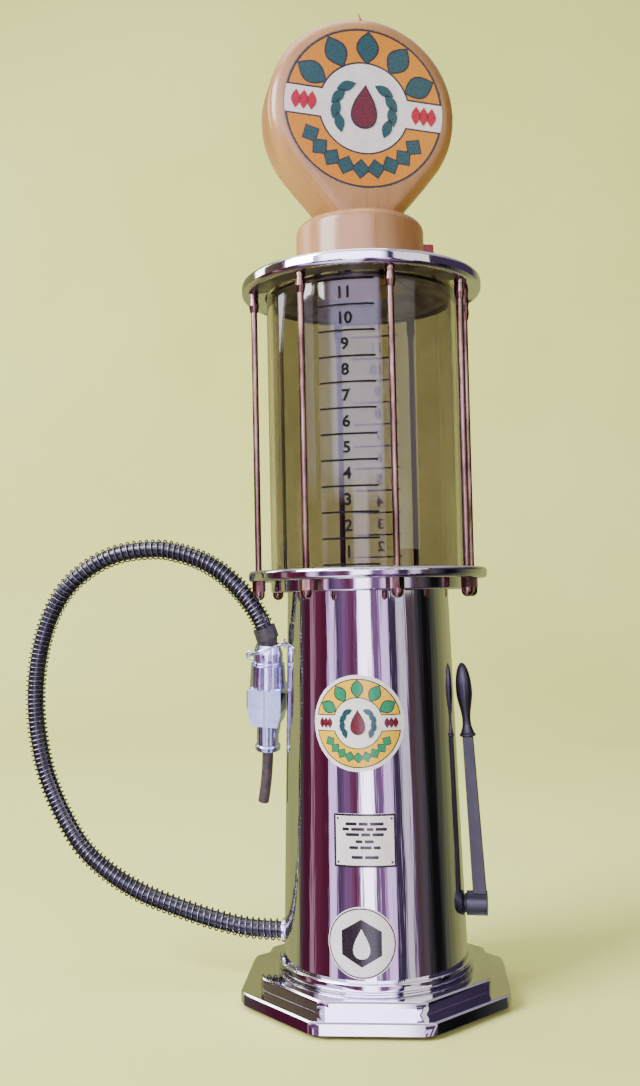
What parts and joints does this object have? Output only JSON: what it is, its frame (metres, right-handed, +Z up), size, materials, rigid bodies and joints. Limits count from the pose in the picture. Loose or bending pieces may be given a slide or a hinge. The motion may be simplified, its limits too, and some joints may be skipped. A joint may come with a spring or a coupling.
{
  "type": "gas pump drinks dispenser",
  "caption": "Tabletop drinks dispenser shaped like an old visible-glass fuel pump: chrome column, glass reservoir with scale, spring-wrapped hose and nozzle, side lever, round lamp globe.",
  "frame": {"origin": "on the column's axis, in the plane of the underside of the four rubber feet", "axes": "+Z up along the column, -Y out of the front with the scale and labels, +X to the side with the lever, -X to the side with the nozzle and hose"},
  "size_m": [0.2393, 0.126, 0.4661],
  "materials": {
    "chrome": "bright chrome plate",
    "steel": "plain steel wire and hardware",
    "base_plate": "dark painted sheet",
    "foot_rubber": "matt black rubber",
    "gasket_rubber": "matt black rubber",
    "glass": "clear glass with a printed scale",
    "copper": "copper-coloured plate",
    "fitting_plastic": "natural white moulding",
    "clear_tube": "clear flexible tube",
    "hose_rubber": "near-black smooth tube",
    "cuff_rubber": "dark grey sleeve",
    "spout_rubber": "dark mauve-grey tube",
    "lever_plastic": "satin black with a navy tint",
    "bushing_plastic": "black moulding",
    "cream_plastic": "aged ivory moulding",
    "seal_rubber": "white silicone",
    "cell_wrap": "printed metal wrap",
    "wire_cover": "insulated wire",
    "bulb_glass": "clear small bulb",
    "switch_case": "black moulding",
    "switch_red": "dark red moulding",
    "face_print": null,
    "label_print": null
  },
  "bodies": {
    "stand": {"base_casting": "chrome", "column_flange": "chrome", "column_shell": "chrome", "mid_flange": "chrome", "top_disc": "chrome", "hose_outlet": "chrome", "hanger_hook": "chrome", "base_screws": "steel", "column_screws": "steel", "hose_outlet_nut": "steel", "hose_spring": "steel", "base_plate": "base_plate", "rubber_feet": "foot_rubber", "lower_gasket": "gasket_rubber", "upper_gasket": "gasket_rubber", "glass_cylinder": "glass", "tie_rods": "copper", "acorn_nuts": "copper", "rod_ferrules": "copper", "outlet_barb": "fitting_plastic", "outlet_nut": "fitting_plastic", "supply_tube": "clear_tube", "hose": "hose_rubber", "lever_bushing": "bushing_plastic", "round_badge": "label_print", "notice_plate": "label_print", "foot_badge": "label_print"},
    "nozzle": {"hose_cuff": "cuff_rubber", "nozzle_collar": "chrome", "nozzle_left_half": "chrome", "nozzle_right_half": "chrome", "outlet_ring": "chrome", "spout_tube": "spout_rubber", "trigger_pin": "steel", "trigger_spring": "steel", "hanger_ring": "chrome"},
    "trigger": {"trigger": "chrome"},
    "plunger": {"valve_plunger": "fitting_plastic"},
    "lever": {"lever_arm": "lever_plastic", "lever_grip": "lever_plastic", "lever_shaft": "steel", "lever_clip": "steel"},
    "stopper": {"stopper_plug": "cream_plastic", "stopper_seal": "seal_rubber"},
    "lamp": {"lamp_base": "cream_plastic", "battery_cover": "cream_plastic", "battery_tray": "fitting_plastic", "batteries": "cell_wrap", "battery_contacts": "steel", "lamp_wires": "wire_cover", "bulb_holder": "fitting_plastic", "bulb": "bulb_glass", "switch_body": "switch_case", "globe_shell": "cream_plastic", "front_face": "face_print", "rear_face": "face_print"},
    "switch": {"switch_button": "switch_red"}
  },
  "joints": [
    {"name": "lever_swing", "type": "hinge", "parent": "stand", "child": "lever", "pos_m": [0.048, 0, 0.0418], "axis": [1, 0, 0], "range_deg": [-90, 90]},
    {"name": "nozzle_lift", "type": "slide", "parent": "stand", "child": "nozzle", "axis": [0, 0, 1], "range_m": [0, 0.012], "deforming": ["hose", "hose_spring"]},
    {"name": "trigger_squeeze", "type": "hinge", "parent": "nozzle", "child": "trigger", "pos_m": [-0.05021, 0.00702, 0.14275], "axis": [-0.9976, 0, 0.0698], "range_deg": [0, 8], "stiffness_Nm_per_rad": 0.03, "springref_deg": -2.86, "deforming": ["trigger_spring"]},
    {"name": "plunger_push", "type": "slide", "parent": "nozzle", "child": "plunger", "axis": [-0.0145, -0.9781, -0.2074], "range_m": [0, 0.00184]},
    {"name": "stopper_lift", "type": "slide", "parent": "stand", "child": "stopper", "axis": [0, 0, 1], "range_m": [0, 0.03]},
    {"name": "globe_turn", "type": "hinge", "parent": "stopper", "child": "lamp", "pos_m": [0, 0, 0.34], "axis": [0, 0, 1], "continuous": true},
    {"name": "light_switch", "type": "slide", "parent": "lamp", "child": "switch", "axis": [-0.9272, -0.3746, 0], "range_m": [0, 0.0015], "stiffness_N_per_m": 400, "springref_m": -0.0005}
  ],
  "couplings": [
    {"joint": "trigger_squeeze", "follows": "plunger_push", "rad_per_m": 75.8}
  ]
}
